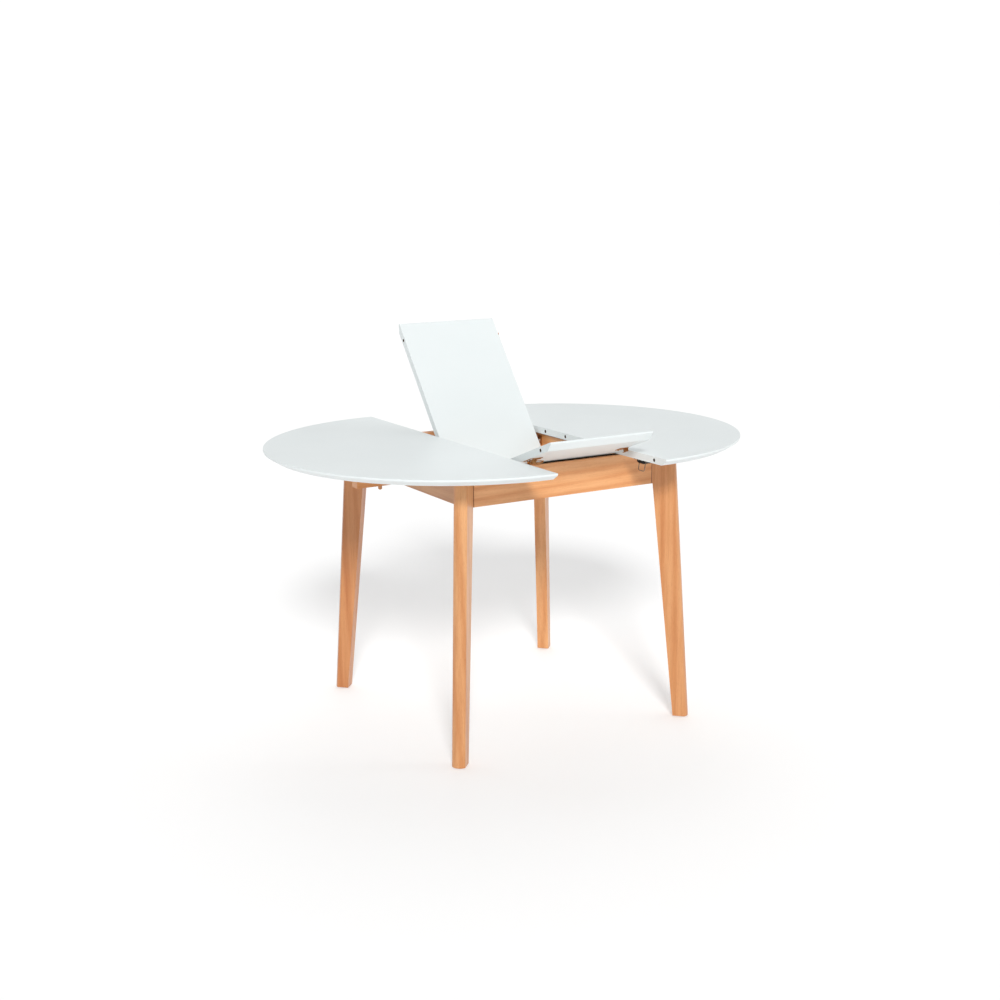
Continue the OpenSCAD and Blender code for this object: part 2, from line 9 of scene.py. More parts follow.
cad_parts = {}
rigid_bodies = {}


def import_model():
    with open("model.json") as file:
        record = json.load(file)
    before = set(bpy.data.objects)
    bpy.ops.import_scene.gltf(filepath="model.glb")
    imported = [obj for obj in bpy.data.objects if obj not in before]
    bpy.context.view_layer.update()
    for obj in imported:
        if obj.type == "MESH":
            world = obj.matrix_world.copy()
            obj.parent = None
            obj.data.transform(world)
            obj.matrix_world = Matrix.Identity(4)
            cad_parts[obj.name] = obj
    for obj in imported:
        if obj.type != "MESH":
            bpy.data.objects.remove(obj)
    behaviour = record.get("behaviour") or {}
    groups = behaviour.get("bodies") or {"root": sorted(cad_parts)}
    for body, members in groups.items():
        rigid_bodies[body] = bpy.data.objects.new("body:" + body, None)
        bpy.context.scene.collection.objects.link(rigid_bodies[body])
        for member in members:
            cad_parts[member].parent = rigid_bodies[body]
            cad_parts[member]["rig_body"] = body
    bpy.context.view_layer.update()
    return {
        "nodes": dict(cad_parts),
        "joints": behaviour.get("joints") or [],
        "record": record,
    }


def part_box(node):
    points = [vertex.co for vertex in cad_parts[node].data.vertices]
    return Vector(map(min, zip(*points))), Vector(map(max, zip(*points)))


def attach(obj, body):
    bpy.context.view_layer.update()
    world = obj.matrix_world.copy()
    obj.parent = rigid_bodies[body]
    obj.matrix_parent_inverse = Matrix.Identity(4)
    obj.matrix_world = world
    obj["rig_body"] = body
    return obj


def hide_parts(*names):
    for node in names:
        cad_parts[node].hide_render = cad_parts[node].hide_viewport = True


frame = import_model()
NODES = frame["nodes"]
JOINTS = {joint["name"]: joint for joint in frame["joints"]}

# Camera, in metres and degrees: azimuth 0 looks along +Y
CAMERA_PLACE = Vector((-1.974, -3.281, 1.420))
CAMERA_AZIMUTH = -29.87
CAMERA_ELEVATION = 13.39
CAMERA_ROLL = -0.52
CAMERA_LENS = 51.95
CAMERA_SHIFT = (0.0224, 0.0238)

# Boards, in metres: the reverse bevel, the upright band above it and the rounded corners
RIM_BEVEL = 0.020
RIM_BAND = 0.005
RIM_ROUND = 0.0014
EDGE_ROUND = 0.0005
ARC_STEPS = 240
BORE_DEPTH = 0.018
BORE_TIP = 0.001
BORE_RADIUS = 0.0044
BORE_CHAMFER = 0.0003
CUTTER_LEAD = 0.002
DOWEL_RADIUS = 0.004
DOWEL_TIP = 0.0012
# The thin dark skin inside the leaf's bores, whose dark fibreboard colour is partly painted shade
LINING_RADIUS = 0.00425
LINING_DEPTH = 0.0118
LINING_MOUTH = 0.0003
LINING_WALL = 0.0001
LINING_FLOOR = 0.0002
# The inner dowels of the halves line up with the leaf's, 50 mm from the fold
INNER_DOWEL = 0.050

# Stop pegs and felt, in metres
PEG_RADIUS = 0.005
PEG_ROUND = 0.0035
FELT_SOFT = 0.0005
FELT_FRONT = 0.002
FELT_WAVE = 0.00025
FELT_STEPS = 160

# Latch, in metres, in its own frame: X along the lever, Y along its pin, Z into the board
LATCH_PIN = Vector((0.009, 0, -0.0065))
LEVER_LOW = -0.0125
RIB_PLACES = [0.018, 0.0215, 0.025, 0.0285, 0.032]
RIB_HALF = 0.0075
RIB_RADIUS = 0.0011
SHEET = 0.0015
LATCH_SCREWS = [(0.0045, 0), (0.0045, 0.0125), (0.0045, -0.0125)]
LATCH_HEAD_RADIUS = 0.0031
LATCH_HEAD_HEIGHT = 0.0018

# Bearing plates: their thickness, the screws' plain base and the domed head on it, in metres
PLATE = 0.003
HEAD_BASE = 0.002
BEARING_HEAD_HEIGHT = 0.0013

# How far a screw's head reaches into its sheet, in metres
HEAD_SUNK = 0.0002
# A head's cross recess, in shares of the head's radius and height
RECESS_LONG = 0.62
RECESS_THIN = 0.13
RECESS_FLOOR = 0.45

# How far the edges of CAD nodes are rounded, in metres
SLOT_ROUNDING = {"leg_wood": 0.0016, "white_lacquer": 0.0010}
APRON_ROUNDING = 0.0024
ROUNDING = 0.0003

SHARP_ANGLE = math.radians(38)
WOOD_GLOSS = 0.34
# Width and tint of the painted shadow of the gap at the ends of a board, where it meets its
# neighbour
GAP_SHADOW_WIDTH = 0.0030
GAP_SHADOW_COLOR = (0.30, 0.19, 0.12)


# ---------------------------------------------------------------- materials
def new_material(name, color, roughness, metallic=0.0):
    """An empty Principled material, its node tree and its shader."""
    material = bpy.data.materials.new(name)
    material.use_nodes = True
    tree = material.node_tree
    shader = tree.nodes["Principled BSDF"]
    shader.inputs["Base Color"].default_value = (*color, 1)
    shader.inputs["Roughness"].default_value = roughness
    shader.inputs["Metallic"].default_value = metallic
    return material, tree, shader


def place(tree, scale=(1, 1, 1), move=(0, 0, 0), turn=(0, 0, 0)):
    """Object coordinates in metres, stretched, turned and moved."""
    coords = tree.nodes.new("ShaderNodeTexCoord")
    mapping = tree.nodes.new("ShaderNodeMapping")
    mapping.inputs["Location"].default_value = move
    mapping.inputs["Scale"].default_value = scale
    mapping.inputs["Rotation"].default_value = turn
    tree.links.new(coords.outputs["Object"], mapping.inputs["Vector"])
    return mapping.outputs["Vector"]


def noise(tree, vector, scale, detail=3.0, roughness=0.5, distortion=0.0):
    node = tree.nodes.new("ShaderNodeTexNoise")
    node.inputs["Scale"].default_value = scale
    node.inputs["Detail"].default_value = detail
    node.inputs["Roughness"].default_value = roughness
    node.inputs["Distortion"].default_value = distortion
    tree.links.new(vector, node.inputs["Vector"])
    return node.outputs["Fac"]


def ramp(tree, value, stops):
    node = tree.nodes.new("ShaderNodeValToRGB")
    elements = node.color_ramp.elements
    while len(elements) < len(stops):
        elements.new(0.5)
    for element, (position, color) in zip(elements, stops):
        element.position = position
        element.color = (*color, 1)
    tree.links.new(value, node.inputs["Fac"])
    return node.outputs["Color"]


def grey(value):
    return (value, value, value)


def multiply(tree, factor, a, b):
    """Color a, multiplied by color b to the given share."""
    node = tree.nodes.new("ShaderNodeMix")
    node.data_type = "RGBA"
    node.blend_type = "MULTIPLY"
    node.inputs["Factor"].default_value = factor
    sides = [socket for socket in node.inputs if socket.type == "RGBA"]
    tree.links.new(a, sides[0])
    tree.links.new(b, sides[1])
    return [socket for socket in node.outputs if socket.type == "RGBA"][0]


def math_node(tree, operation, value, other=0.0):
    node = tree.nodes.new("ShaderNodeMath")
    node.operation = operation
    tree.links.new(value, node.inputs[0])
    node.inputs[1].default_value = other
    return node.outputs[0]


def paint_gap_shadow(tree, base, axis, reach):
    """Color base, darkened along both ends of a board as painted shadow of the gap where it meets
    its neighbours.
    """
    apart = tree.nodes.new("ShaderNodeSeparateXYZ")
    tree.links.new(place(tree), apart.inputs[0])
    along = math_node(tree, "ABSOLUTE", apart.outputs[axis.upper()])
    past = math_node(tree, "SUBTRACT", along, reach - GAP_SHADOW_WIDTH)
    share = math_node(tree, "DIVIDE", past, GAP_SHADOW_WIDTH)
    shade = ramp(tree, share, [(0.0, grey(1.0)), (0.55, GAP_SHADOW_COLOR)])
    return multiply(tree, 1.0, base, shade)


def bump(tree, shader, height, strength, distance):
    node = tree.nodes.new("ShaderNodeBump")
    node.inputs["Strength"].default_value = strength
    node.inputs["Distance"].default_value = distance
    tree.links.new(height, node.inputs["Height"])
    tree.links.new(node.outputs["Normal"], shader.inputs["Normal"])


def lacquer():
    """White satin lacquer: faint orange peel and slightly uneven gloss."""
    material, tree, shader = new_material("white_lacquer", (0.79, 0.84, 0.84), 0.46)
    coords = place(tree)
    tone = noise(tree, coords, 3.0, 4)
    color = ramp(tree, tone, [(0.3, (0.765, 0.812, 0.814)), (0.7, (0.785, 0.830, 0.832))])
    tree.links.new(color, shader.inputs["Base Color"])
    gloss = ramp(tree, noise(tree, coords, 9.0, 5), [(0.3, grey(0.43)), (0.7, grey(0.50))])
    tree.links.new(gloss, shader.inputs["Roughness"])
    shader.inputs["Coat Weight"].default_value = 0.08
    shader.inputs["Coat Roughness"].default_value = 0.3
    bump(tree, shader, noise(tree, coords, 420.0, 2), 0.06, 0.0004)
    return material


def board_core():
    """Cut fibreboard inside the bores: brown and matted, darker than bare board as painted shade of
    the bores' depth.
    """
    material, tree, shader = new_material("board_core", (0.12, 0.07, 0.04), 0.9)
    fibres = noise(tree, place(tree), 700.0, 4, 0.7)
    color = ramp(tree, fibres, [(0.3, (0.05, 0.028, 0.016)), (0.7, (0.14, 0.082, 0.045))])
    tree.links.new(color, shader.inputs["Base Color"])
    bump(tree, shader, fibres, 0.5, 0.0004)
    return material


def stretched(grain, along, across):
    """Scale with one value along the grain and another across it."""
    return tuple(along if axis == grain else across for axis in "xyz")


def wood(name, grain, light, dark, seed, reach):
    """Light hardwood with its grain along one axis: broad tone, figure, streaks and pores."""
    material, tree, shader = new_material(name, light, WOOD_GLOSS)
    move = (seed, 0.37 * seed, 0.61 * seed)
    broad = noise(tree, place(tree, stretched(grain, 1.3, 11), move), 1.0, 3, 0.5, 0.4)
    figure = tree.nodes.new("ShaderNodeTexWave")
    figure.wave_type = "BANDS"
    figure.bands_direction = "X" if grain == "z" else "Z"
    figure.inputs["Scale"].default_value = 11.0
    figure.inputs["Distortion"].default_value = 9.0
    figure.inputs["Detail"].default_value = 3.0
    figure.inputs["Detail Scale"].default_value = 0.32
    figure.inputs["Detail Roughness"].default_value = 0.45
    slant = {"x": (0, 0.17, 0), "y": (0.17, 0, 0), "z": (0, 0.1, 0)}[grain]
    tree.links.new(place(tree, stretched(grain, 0.20, 1.0), move, slant), figure.inputs["Vector"])
    streak = noise(tree, place(tree, stretched(grain, 5, 120), move), 1.0, 4, 0.6)
    fibre = noise(tree, place(tree, stretched(grain, 18, 520), move), 1.0, 3, 0.6)
    pores = noise(tree, place(tree, stretched(grain, 75, 1100), move), 1.0, 2, 0.5)
    base = ramp(tree, broad, [(0.30, dark), (0.62, light)])
    # Each layer: its share, its pattern, and its color at each value of the pattern
    layers = [
        (0.75, figure.outputs["Fac"],
         [(0.0, (0.86, 0.72, 0.56)), (0.35, (0.96, 0.91, 0.86)), (0.75, grey(1.0))]),
        (0.75, streak, [(0.30, (0.86, 0.75, 0.62)), (0.58, grey(1.0))]),
        (0.55, fibre, [(0.3, (0.87, 0.80, 0.71)), (0.65, grey(1.0))]),
        (0.30, pores, [(0.33, (0.62, 0.47, 0.34)), (0.42, grey(1.0))]),
    ]
    for share, pattern, stops in layers:
        base = multiply(tree, share, base, ramp(tree, pattern, stops))
    # Painted shadow of the gaps at the board's ends
    if reach:
        base = paint_gap_shadow(tree, base, grain, reach)
    tree.links.new(base, shader.inputs["Base Color"])
    gloss = ramp(tree, fibre, [(0.3, grey(WOOD_GLOSS + 0.10)), (0.7, grey(WOOD_GLOSS - 0.04))])
    tree.links.new(gloss, shader.inputs["Roughness"])
    shader.inputs["Coat Weight"].default_value = 0.35
    shader.inputs["Coat Roughness"].default_value = 0.30
    bump(tree, shader, pores, 0.10, 0.0003)
    return material


def metal(name, color, roughness, worn, scale=160.0):
    """Plated sheet or wire: mottled plating and fine scratches."""
    material, tree, shader = new_material(name, color, roughness, 1.0)
    mottle = noise(tree, place(tree), scale, 5, 0.65)
    tree.links.new(ramp(tree, mottle, [(0.3, worn), (0.62, color)]), shader.inputs["Base Color"])
    scratch = noise(tree, place(tree, (60, 1500, 1500)), 1.0, 2)
    gloss = ramp(tree, scratch, [(0.3, grey(roughness - 0.08)), (0.7, grey(roughness + 0.10))])
    tree.links.new(gloss, shader.inputs["Roughness"])
    bump(tree, shader, scratch, 0.05, 0.0001)
    return material


def coated_steel():
    """Black powder coat with a fine texture."""
    material, tree, shader = new_material("black_steel", (0.01, 0.01, 0.01), 0.45)
    coords = place(tree)
    tone = ramp(tree, noise(tree, coords, 120.0, 4), [(0.3, grey(0.005)), (0.7, grey(0.016))])
    tree.links.new(tone, shader.inputs["Base Color"])
    shader.inputs["Specular IOR Level"].default_value = 0.35
    bump(tree, shader, noise(tree, coords, 1500.0, 2), 0.15, 0.0002)
    return material


def felt():
    """Black felt: matted fibres that catch almost no light; its near-black also paints the shadow
    gap under the near panel.
    """
    material, tree, shader = new_material("felt", (0.01, 0.01, 0.009), 1.0)
    fibres = noise(tree, place(tree, (300, 900, 900)), 1.0, 5, 0.7)
    color = ramp(tree, fibres, [(0.3, (0.012, 0.013, 0.010)), (0.7, (0.040, 0.042, 0.034))])
    tree.links.new(color, shader.inputs["Base Color"])
    shader.inputs["Specular IOR Level"].default_value = 0.1
    bump(tree, shader, fibres, 0.6, 0.0006)
    return material


def moulded_plastic():
    """Pale plastic glide with a fine grain."""
    material, tree, shader = new_material("glide", (0.60, 0.57, 0.50), 0.5)
    coords = place(tree)
    stops = [(0.3, (0.55, 0.52, 0.45)), (0.7, (0.62, 0.59, 0.52))]
    tone = ramp(tree, noise(tree, coords, 60.0, 3), stops)
    tree.links.new(tone, shader.inputs["Base Color"])
    bump(tree, shader, noise(tree, coords, 1200.0, 2), 0.2, 0.0002)
    return material


MATERIALS = {
    "white_lacquer": lacquer(),
    "board_core": board_core(),
    "zinc_steel": metal("zinc_steel", (0.62, 0.63, 0.64), 0.32, (0.48, 0.49, 0.50)),
    "bronze_steel": metal("bronze_steel", (0.56, 0.29, 0.12), 0.30, (0.38, 0.19, 0.077), 330.0),
    "brass": metal("brass", (0.75, 0.56, 0.26), 0.30, (0.58, 0.40, 0.17)),
    "black_steel": coated_steel(),
    "wire": metal("wire", (0.34, 0.29, 0.23), 0.28, (0.12, 0.095, 0.07)),
    "felt": felt(),
    "glide": moulded_plastic(),
}
# Lighter and darker tone of each wood
WOODS = {
    "leg_wood": ((0.82, 0.405, 0.172), (0.69, 0.285, 0.095)),
    "inner_wood": ((0.82, 0.42, 0.17), (0.68, 0.28, 0.09)),
    "dowel_wood": ((0.62, 0.30, 0.12), (0.46, 0.20, 0.07)),
}
# Colour factors of each piece: partly the boards' own tone, partly painted light and shade: the
# front apron lighter where it is lit, the left apron darker and cooler as painted shade under the
# left half, the legs darker as painted shade, most of all the back-left leg
TINTS_AND_PAINTED_LIGHT = {
    "leg_front_left": (0.89, 0.92, 0.93), "leg_front_right": (0.89, 0.90, 0.90),
    "leg_back_left": (0.74, 0.66, 0.58), "leg_back_right": (0.92, 0.95, 0.95),
    "front_apron": (1.04, 1.10, 1.17), "back_apron": (0.9, 0.84, 0.76),
    "left_apron": (0.74, 0.82, 0.86),
}
# Grain of the pieces that lie, apart from runners, dowels and pegs, which have it along X
GRAIN = {
    "front_apron": "x", "back_apron": "x", "left_apron": "y", "right_apron": "y",
    "left_bearer_rail": "y", "right_bearer_rail": "y",
}


def finish_of(index, node, slot):
    """The material of a node: a wood of its own, or the one that its slot shares."""
    if slot not in WOODS:
        return MATERIALS[slot]
    lies = "runner" in node or "dowel" in node or "peg" in node
    tint = TINTS_AND_PAINTED_LIGHT.get(node, (1, 1, 1))
    light, dark = [tuple(a * b for a, b in zip(tone, tint)) for tone in WOODS[slot]]
    grain = GRAIN.get(node, "x" if lies else "z")
    reach = getattr(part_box(node)[1], grain) if node.endswith("apron") else 0
    return wood(f"{slot}_{node}", grain, light, dark, 1.7 * index, reach)


FINISH = {}
SLOTS = {}
for index, row in enumerate(frame["record"]["subparts"]):
    SLOTS[row["node"]] = row["material_slot"]
    FINISH[row["node"]] = finish_of(index, row["node"], row["material_slot"])


# ---------------------------------------------------------------- mesh helpers
def piece(name, bm, materials, body, slot, *replaced):
    """Turns bm into a smooth piece with sharp corners that rides on a body."""
    bmesh.ops.recalc_face_normals(bm, faces=bm.faces)
    for face in bm.faces:
        face.smooth = True
    for edge in bm.edges:
        edge.smooth = edge.calc_face_angle(0) < SHARP_ANGLE
    mesh = bpy.data.meshes.new(name)
    bm.to_mesh(mesh)
    bm.free()
    for material in materials:
        mesh.materials.append(material)
    item = bpy.data.objects.new(name, mesh)
    bpy.context.scene.collection.objects.link(item)
    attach(item, body)
    if replaced:
        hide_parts(*replaced)
    return item


def lathe(bm, profile, origin, axis, steps):
    """Adds a turned solid to bm: profile is (radius, height along the axis), pole to pole."""
    turn = Vector(axis).to_track_quat("Z", "Y").to_matrix()
    rings = []
    for radius, height in profile:
        angles = [2 * math.pi * step / steps for step in range(steps if radius else 1)]
        points = [Vector((radius * math.cos(a), radius * math.sin(a), height)) for a in angles]
        rings.append([bm.verts.new(Vector(origin) + turn @ point) for point in points])
    for low, high in zip(rings, rings[1:]):
        for step in range(steps):
            after = (step + 1) % steps
            loop = [low[step % len(low)], low[after % len(low)],
                    high[after % len(high)], high[step % len(high)]]
            bm.faces.new(list(dict.fromkeys(loop)))


def dome(radius, height, lift, steps=6):
    """Profile of a rounded end from its edge to its pole, starting at height lift."""
    quarter = [math.pi / 2 * step / steps for step in range(steps + 1)]
    ring = [(radius * math.cos(a), lift + height * math.sin(a)) for a in quarter[:-1]]
    return ring + [(0, lift + height)]


def turned_pin(radius, tip, length, steps=6):
    """Profile of a pin with two rounded ends, from height 0 to length."""
    end = dome(radius, tip, length - tip, steps)
    return [(0, 0)] + [(r, length - h) for r, h in reversed(end[:-1])] + end


def rounded(before, corner, after, size, steps=5):
    """Points of a rounded corner between two straight runs."""
    corner = Vector(corner)
    start = corner + (Vector(before) - corner).normalized() * size
    end = corner + (Vector(after) - corner).normalized() * size
    shares = [step / steps for step in range(steps + 1)]
    return [start * (1 - t) ** 2 + corner * 2 * t * (1 - t) + end * t ** 2 for t in shares]


def cross(bm, long, thin, low, high, frame_of):
    """Adds a cross-shaped prism with four equal arms, from height low to high of a local frame."""
    quarter = [(long, -thin), (long, thin), (thin, thin)]
    outline = []
    for _ in range(4):
        outline += quarter
        quarter = [(-y, x) for x, y in quarter]
    rings = [[bm.verts.new(frame_of @ Vector((x, y, z))) for x, y in outline] for z in (low, high)]
    for index in range(len(outline)):
        after = (index + 1) % len(outline)
        bm.faces.new((rings[0][index], rings[0][after], rings[1][after], rings[1][index]))
    for ring in rings:
        bm.faces.new(ring)


def cut(item, cutter_bm):
    """Applies a piece's modifiers, cuts the cutter's solids out of it and marks its sharp edges."""
    cutter_mesh = bpy.data.meshes.new("cutter")
    bmesh.ops.recalc_face_normals(cutter_bm, faces=cutter_bm.faces)
    cutter_bm.to_mesh(cutter_mesh)
    cutter_bm.free()
    cutter = bpy.data.objects.new("cutter", cutter_mesh)
    bpy.context.scene.collection.objects.link(cutter)
    modifier = item.modifiers.new("cut", "BOOLEAN")
    modifier.operation = "DIFFERENCE"
    modifier.solver = "EXACT"
    modifier.object = cutter
    bpy.context.view_layer.update()
    graph = bpy.context.evaluated_depsgraph_get()
    shaped = bpy.data.meshes.new_from_object(item.evaluated_get(graph))
    item.modifiers.clear()
    old = item.data
    item.data = shaped
    bpy.data.objects.remove(cutter)
    bpy.data.meshes.remove(cutter_mesh)
    bpy.data.meshes.remove(old)
    bm = bmesh.new()
    bm.from_mesh(shaped)
    for face in bm.faces:
        face.smooth = True
    for edge in bm.edges:
        edge.smooth = edge.calc_face_angle(0) < SHARP_ANGLE
    bm.to_mesh(shaped)
    bm.free()
    flat_normals(item)


def flat_normals(item):
    """Keeps large faces flat between rounded edges."""
    normals = item.modifiers.new("normals", "WEIGHTED_NORMAL")
    normals.keep_sharp = True


def round_edges(item, width, angle):
    """Rounds the edges whose faces meet at more than an angle in degrees."""
    bevel = item.modifiers.new("bevel", "BEVEL")
    bevel.width = width
    bevel.segments = 2
    bevel.limit_method = "ANGLE"
    bevel.angle_limit = math.radians(angle)


def soften(node, width):
    """Smooths a CAD node: joins its faces and, unless width is 0, rounds its edges."""
    item = NODES[node]
    weld = item.modifiers.new("weld", "WELD")
    weld.merge_threshold = 1e-5
    dissolve = item.modifiers.new("dissolve", "DECIMATE")
    dissolve.decimate_type = "DISSOLVE"
    dissolve.angle_limit = math.radians(0.4)
    if width:
        round_edges(item, width, 28)
        flat_normals(item)
    for polygon in item.data.polygons:
        polygon.use_smooth = True


def body_of(node):
    """The body that a CAD node rides on."""
    return NODES[node]["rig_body"]


# ---------------------------------------------------------------- boards and dowels
def bore_middles(node):
    """The (y, z) of a node's dowels, which lie along X: four in a level half, two in a panel."""
    low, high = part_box(node)
    if high.z - low.z < 3 * DOWEL_RADIUS:
        z = (low.z + high.z) / 2
        outer = high.y - DOWEL_RADIUS
        return [(y, z) for y in (-outer, -INNER_DOWEL, INNER_DOWEL, outer)]
    rising = node.startswith("far")
    near_y, far_y = (low.y, high.y) if rising else (high.y, low.y)
    inset = DOWEL_RADIUS if rising else -DOWEL_RADIUS
    return [(near_y + inset, low.z + DOWEL_RADIUS), (far_y - inset, high.z - DOWEL_RADIUS)]


def half_board(node, side):
    """Half of the round top: a rounded rim with a reverse bevel, and bores in its straight edge."""
    low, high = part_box(node)
    radius = high.y
    split = low.x if side > 0 else high.x
    corners = [(0, low.z), (radius - RIM_BEVEL, low.z), (radius, high.z - RIM_BAND),
               (radius, high.z), (0, high.z)]
    outline = []
    for before, corner, after in zip(corners, corners[1:], corners[2:]):
        outline += rounded(before, corner, after, RIM_ROUND)
    bm = bmesh.new()
    columns = []
    for step in range(ARC_STEPS + 1):
        angle = math.pi * step / ARC_STEPS - math.pi / 2
        along, across = side * math.cos(angle), math.sin(angle)
        columns.append([bm.verts.new((split + r * along, r * across, z)) for r, z in outline])
    for left, right in zip(columns, columns[1:]):
        for index in range(len(outline) - 1):
            bm.faces.new((left[index], right[index], right[index + 1], left[index + 1]))
    bm.faces.new([column[0] for column in columns])
    bm.faces.new([column[-1] for column in columns])
    bm.faces.new(columns[0] + columns[-1][::-1])
    finishes = [FINISH[node], MATERIALS["board_core"]]
    item = piece(f"{node}_board", bm, finishes, body_of(node), SLOTS[node], node)
    round_edges(item, EDGE_ROUND, 50)
    middles = bore_middles("left_half_dowels")
    wide = BORE_RADIUS + BORE_CHAMFER
    shape = [(0, -CUTTER_LEAD), (wide, -CUTTER_LEAD), (wide, 0), (BORE_RADIUS, BORE_CHAMFER),
             (BORE_RADIUS, BORE_DEPTH), (0, BORE_DEPTH + BORE_TIP)]
    cutter = bmesh.new()
    for y, z in middles:
        lathe(cutter, shape, (split, y, z), (side, 0, 0), 32)
    cut(item, cutter)
    for polygon in item.data.polygons:
        deep = BORE_CHAMFER < abs(polygon.center.x - split) < BORE_DEPTH + 2 * BORE_TIP
        inside = min(math.hypot(polygon.center.y - y, polygon.center.z - z) for y, z in middles)
        polygon.material_index = 1 if deep and inside < BORE_RADIUS else 0


def dowels(node):
    """Turned dowels with rounded ends."""
    low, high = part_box(node)
    bm = bmesh.new()
    shape = turned_pin(DOWEL_RADIUS, DOWEL_TIP, high.x - low.x)
    for y, z in bore_middles(node):
        lathe(bm, shape, (low.x, y, z), (1, 0, 0), 24)
    piece(f"{node}_turned", bm, [FINISH[node]], body_of(node), SLOTS[node], node)


def bore_linings(node):
    """Cut fibreboard inside the bores at the leaf's open edge, opposite its dowels, dark as painted
    shade of the bores.
    """
    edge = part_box(node.replace("dowels", "panel"))[0].x
    inner = LINING_RADIUS - LINING_WALL
    floor_at = LINING_DEPTH - LINING_FLOOR
    shape = [(0, floor_at), (inner, floor_at), (inner, LINING_MOUTH),
             (LINING_RADIUS, LINING_MOUTH), (LINING_RADIUS, LINING_DEPTH), (0, LINING_DEPTH)]
    bm = bmesh.new()
    for y, z in bore_middles(node):
        lathe(bm, shape, (edge, y, z), (1, 0, 0), 24)
    name = node.replace("dowels", "bore_linings")
    piece(name, bm, [MATERIALS["board_core"]], body_of(node), SLOTS[node])


def stop_pegs(node):
    """Turned pegs with round lower ends, two in each runner."""
    low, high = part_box(node)
    tip = dome(PEG_RADIUS, PEG_ROUND, high.z - low.z - PEG_ROUND)
    bm = bmesh.new()
    for x in (low.x + PEG_RADIUS, high.x - PEG_RADIUS):
        for y in (low.y + PEG_RADIUS, high.y - PEG_RADIUS):
            lathe(bm, [(0, 0), (PEG_RADIUS, 0)] + tip, (x, y, high.z), (0, 0, -1), 28)
    piece(f"{node}_turned", bm, [FINISH[node]], body_of(node), SLOTS[node], node)


def felt_strip():
    """Felt glued along the front apron, with soft edges and an uneven surface; its black strip also
    stands in for the shadow gap under the near panel.
    """
    low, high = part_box("front_felt")
    bm = bmesh.new()
    corners = [(low.y, low.z), (high.y, low.z), (high.y, high.z), (low.y, high.z)]
    section = []
    for index, corner in enumerate(corners):
        size = FELT_SOFT if index > 1 else FELT_SOFT / 4
        section += rounded(corners[index - 1], corner, corners[(index + 1) % 4], size, 3)
    columns = []
    for step in range(FELT_STEPS + 1):
        x = low.x + (high.x - low.x) * step / FELT_STEPS
        wave = FELT_WAVE * math.sin(7.3 * step) * math.sin(0.61 * step + 1.1)
        front = low.y + FELT_FRONT
        columns.append([bm.verts.new((x, y + wave * (y < front), z)) for y, z in section])
    for left, right in zip(columns, columns[1:]):
        for index in range(len(section)):
            after = (index + 1) % len(section)
            bm.faces.new((left[index], left[after], right[after], right[index]))
    bm.faces.new(columns[0])
    bm.faces.new(columns[-1])
    piece("felt_strip", bm, [FINISH["front_felt"]], body_of("front_felt"), "felt", "front_felt")


# ---------------------------------------------------------------- fittings
def latch_frame(joint):
    """The frame of a latch, from its lever's joint: X along the lever, Y along the pin."""
    across = Vector(JOINTS[joint]["axis"]).normalized()
    along = Vector((1, 0, 0))
    up = along.cross(across)
    turn = Matrix((along, across, up)).transposed()
    origin = Vector(JOINTS[joint]["pos_m"]) - turn @ LATCH_PIN
    return Matrix.Translation(origin) @ turn.to_4x4()


def lever_ribs(joint, node):
    """Pressed grip ribs across the lever."""
    at = latch_frame(joint)
    across = at.to_3x3() @ Vector((0, 1, 0))
    shape = turned_pin(RIB_RADIUS, RIB_RADIUS, 2 * RIB_HALF, 3)
    bm = bmesh.new()
    for x in RIB_PLACES:
        lathe(bm, shape, at @ Vector((x, -RIB_HALF, LEVER_LOW)), across, 12)
    piece(f"{node}_ribs", bm, [FINISH[node]], body_of(node), SLOTS[node])


def screw_heads(name, heads, radius, height, body):
    """Domed heads with a cross recess: heads is a list of (place, outward direction)."""
    bm = bmesh.new()
    cutter = bmesh.new()
    shape = [(0, -HEAD_SUNK), (radius, -HEAD_SUNK)] + dome(radius, height, 0, 5)
    for spot, outward in heads:
        lathe(bm, shape, spot, outward, 28)
        turn = Vector(outward).to_track_quat("Z", "Y").to_matrix().to_4x4()
        at = Matrix.Translation(spot) @ turn
        arms = (RECESS_LONG * radius, RECESS_THIN * radius)
        cross(cutter, *arms, RECESS_FLOOR * height, height * 2, at)
    cut(piece(name, bm, [MATERIALS["zinc_steel"]], body, "zinc_steel"), cutter)


def latch_heads(joint, lever, base):
    """Cross-recess heads on the three screws of a latch's base."""
    at = latch_frame(joint)
    down = at.to_3x3() @ Vector((0, 0, -1))
    heads = [(at @ Vector((x, y, -SHEET)), down) for x, y in LATCH_SCREWS]
    sizes = (LATCH_HEAD_RADIUS, LATCH_HEAD_HEIGHT)
    screw_heads(f"{lever}_base_screws", heads, *sizes, body_of(base))


def bearing_heads():
    """Cross-recess heads on the four screws of the bearing plates."""
    low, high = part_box("bearing_screws")
    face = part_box("bearing_plates")[1].x - PLATE - HEAD_BASE
    radius = (high.z - low.z) / 2
    heads = []
    for side in (-1, 1):
        for y in (low.y + radius, high.y - radius):
            heads.append((Vector((side * face, y, low.z + radius)), Vector((-side, 0, 0))))
    sizes = (radius, BEARING_HEAD_HEIGHT)
    screw_heads("bearing_screw_heads", heads, *sizes, body_of("bearing_screws"))


def finish_node(node):
    """Gives a CAD node its material and softens its edges; round wire has none."""
    data = NODES[node].data
    data.materials.clear()
    data.materials.append(FINISH[node])
    width = SLOT_ROUNDING.get(SLOTS[node], ROUNDING)
    if node.endswith("apron"):
        width = APRON_ROUNDING
    if "bail" in node:
        width = 0
    soften(node, width)


